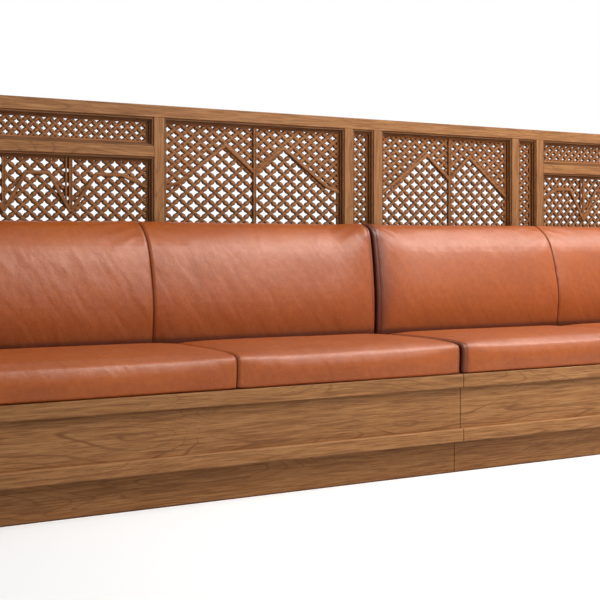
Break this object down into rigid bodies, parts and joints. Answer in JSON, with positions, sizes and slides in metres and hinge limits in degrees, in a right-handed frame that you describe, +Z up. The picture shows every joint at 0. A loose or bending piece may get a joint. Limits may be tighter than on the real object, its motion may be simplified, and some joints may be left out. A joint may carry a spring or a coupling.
{
  "type": "restaurant booth",
  "caption": "Long restaurant booth bench with lift-off leather seat and back cushions on a plinth, in front of a framed wooden lattice screen.",
  "frame": {"origin": "on the floor, under the middle of the booth's length and depth, at the joint of the two modules", "axes": "+X along the seats, the front faces -Y, +Z up"},
  "size_m": [3.66, 0.77, 1.295],
  "materials": {
    "timber": "satin",
    "plywood": "matte",
    "leather": "satin",
    "steel": "satin"
  },
  "bodies": {
    "frame": {"carcass_back_left": "plywood", "carcass_back_right": "plywood", "end_panel_left": "timber", "end_panel_right": "timber", "front_panel_left": "timber", "front_panel_right": "timber", "joint_bolts": "steel", "joint_panel_left": "timber", "joint_panel_right": "timber", "lattice_east": "timber", "lattice_far": "timber", "lattice_far_strip": "timber", "lattice_narrow": "timber", "lattice_slim": "timber", "lattice_west": "timber", "lattice_west_strip": "timber", "lattice_wide": "timber", "lower_rail_left": "timber", "lower_rail_right": "timber", "moulding_east": "timber", "moulding_far": "timber", "moulding_far_strip": "timber", "moulding_narrow": "timber", "moulding_slim": "timber", "moulding_west": "timber", "moulding_west_strip": "timber", "moulding_wide": "timber", "plinth_frame_left": "timber", "plinth_frame_right": "timber", "plinth_front_left": "timber", "plinth_front_right": "timber", "screen_back_panels": "timber", "screen_bottom_rails": "timber", "screen_cross_rails": "timber", "screen_mid_rails": "timber", "screen_screws": "steel", "screen_stiles": "timber", "screen_top_rail": "timber", "seat_bearers_left": "timber", "seat_bearers_right": "timber", "seat_deck_left": "plywood", "seat_deck_right": "plywood", "top_rail_left": "timber", "top_rail_right": "timber", "trim_east": "timber", "trim_far": "timber", "trim_west": "timber", "trim_wide": "timber", "wall_batten_left": "timber", "wall_batten_right": "timber"},
    "seat_left": {"seat_cushion_left": "leather", "seat_board_left": "plywood"},
    "back_left": {"back_cushion_left": "leather", "back_board_left": "plywood", "cushion_batten_left": "timber"},
    "seat_right": {"seat_cushion_right": "leather", "seat_board_right": "plywood"},
    "back_right": {"back_cushion_right": "leather", "back_board_right": "plywood", "cushion_batten_right": "timber"}
  },
  "joints": [
    {"name": "seat_left_lift", "type": "slide", "parent": "frame", "child": "seat_left", "axis": [0, 0, 1], "range_m": [0, 0.25]},
    {"name": "back_left_lift", "type": "slide", "parent": "frame", "child": "back_left", "axis": [0, 0, 1], "range_m": [0, 0.03]},
    {"name": "seat_right_lift", "type": "slide", "parent": "frame", "child": "seat_right", "axis": [0, 0, 1], "range_m": [0, 0.25]},
    {"name": "back_right_lift", "type": "slide", "parent": "frame", "child": "back_right", "axis": [0, 0, 1], "range_m": [0, 0.03]}
  ]
}
